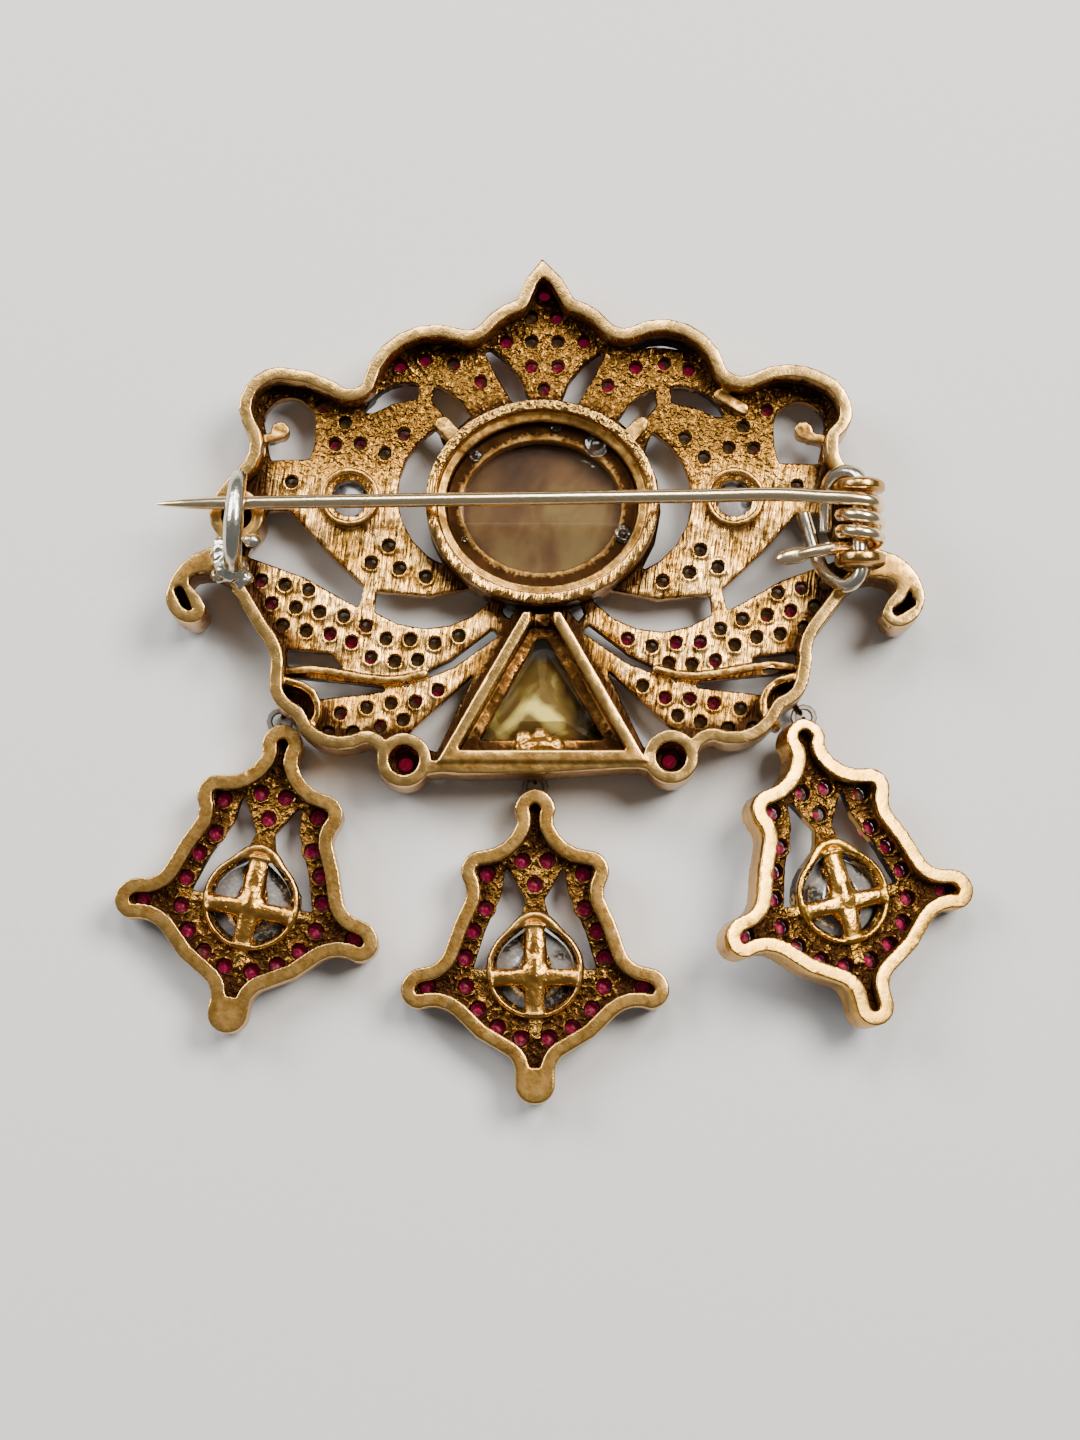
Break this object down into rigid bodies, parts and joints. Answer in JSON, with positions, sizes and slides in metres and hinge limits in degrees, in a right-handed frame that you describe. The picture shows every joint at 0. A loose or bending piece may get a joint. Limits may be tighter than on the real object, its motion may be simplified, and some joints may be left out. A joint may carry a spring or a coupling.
{
  "type": "brooch",
  "caption": "Cast gilt brooch with a pierced back, an oval and a triangular stone, fields of small stones, a coiled pin with a catch hook and hanging drops.",
  "frame": {"origin": "middle of the footprint at the height of the surface the brooch lies on", "axes": "+Z out of the brooch's back, which faces up; -Y towards the hanging drops; -X towards the catch hook"},
  "size_m": [0.0682, 0.0676, 0.0105],
  "materials": {
    "gilt": "cast and gilt, satin rim",
    "pin_metal": "drawn wire, champagne tone",
    "silver": "dull silver wire",
    "olive_stone": "polished, cloudy",
    "yellow_stone": "polished, cloudy",
    "clear_stone": "cut and polished",
    "ruby_stone": "cut and polished"
  },
  "bodies": {
    "brooch": {"brooch_frame": "gilt", "centre_cabochon": "olive_stone", "triangle_stone": "yellow_stone", "side_stone_left": "clear_stone", "side_stone_right": "clear_stone", "collet_stones": "ruby_stone", "pave_crown": "ruby_stone", "pave_upper_left": "ruby_stone", "pave_upper_right": "ruby_stone", "pave_crescent_left": "ruby_stone", "pave_crescent_right": "ruby_stone", "pave_lower_left": "ruby_stone", "pave_lower_right": "ruby_stone", "pave_bottom_left": "ruby_stone", "pave_bottom_right": "ruby_stone", "hinge_loop": "silver", "link_left": "silver", "link_centre": "silver", "link_right": "silver", "drop_frame_left": "gilt", "drop_frame_centre": "gilt", "drop_frame_right": "gilt", "drop_stone_left": "clear_stone", "drop_stone_centre": "clear_stone", "drop_stone_right": "clear_stone", "drop_pave_left": "ruby_stone", "drop_pave_centre": "ruby_stone", "drop_pave_right": "ruby_stone"},
    "pin": {"pin_wire": "pin_metal"}
  },
  "joints": [
    {"name": "pin_hinge", "type": "hinge", "parent": "brooch", "child": "pin", "pos_m": [0.02484, 0.0116, 0.0085], "axis": [0, 1, 0], "range_deg": [0, 100]}
  ]
}
